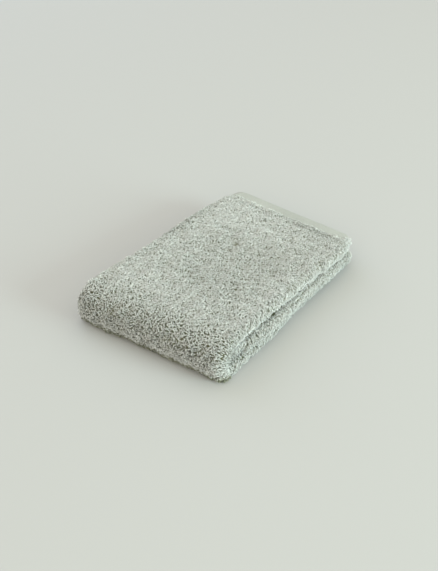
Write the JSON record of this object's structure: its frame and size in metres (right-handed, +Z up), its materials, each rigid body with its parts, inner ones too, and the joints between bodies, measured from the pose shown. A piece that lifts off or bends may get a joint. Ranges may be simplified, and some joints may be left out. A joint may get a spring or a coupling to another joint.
{
  "type": "folded face towel",
  "caption": "Cotton terry face towel with a soft looped pile and a flat woven hem, folded in half lengthwise and in thirds to lie flat.",
  "frame": {"origin": "centre of the folded towel's outline, on the surface that it lies on", "axes": "+X across the towel, from the selvages to the lengthwise fold; +Y along it, from the near fold to the hem on top; +Z up through the stack"},
  "size_m": [0.1775, 0.2748, 0.0399],
  "materials": {
    "terry": "pale sage grey cotton terry with uncut loops on both faces, and flat woven hems without pile"
  },
  "bodies": {
    "root": {"towel": "terry"}
  },
  "joints": []
}
